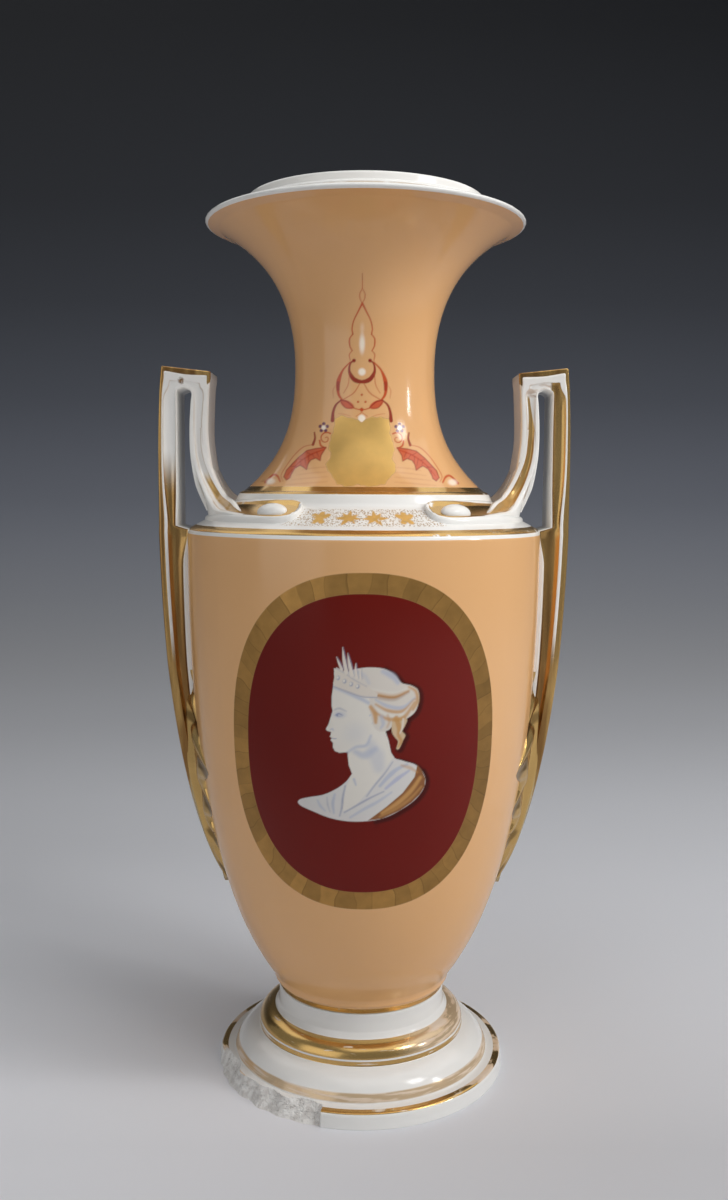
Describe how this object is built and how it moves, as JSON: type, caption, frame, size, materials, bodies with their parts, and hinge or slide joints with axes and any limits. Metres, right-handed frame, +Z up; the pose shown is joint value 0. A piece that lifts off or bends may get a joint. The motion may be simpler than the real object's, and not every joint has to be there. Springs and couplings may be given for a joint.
{
  "type": "vase",
  "caption": "Tall porcelain urn vase with a flared lip, two slotted strap handles and a chipped pedestal foot.",
  "frame": {"origin": "middle of the foot's underside, on the table", "axes": "+Z up along the vase's axis, the two handles along +X and -X, the painted front along -Y"},
  "size_m": [0.2322, 0.2018, 0.5],
  "materials": {
    "peach_glaze": "glossy peach ground glaze over white porcelain, painted and gilded",
    "white_glaze": "glossy white porcelain glaze with worn gilt bands"
  },
  "bodies": {
    "root": {"vase_body": "peach_glaze", "foot": "white_glaze"}
  },
  "joints": []
}
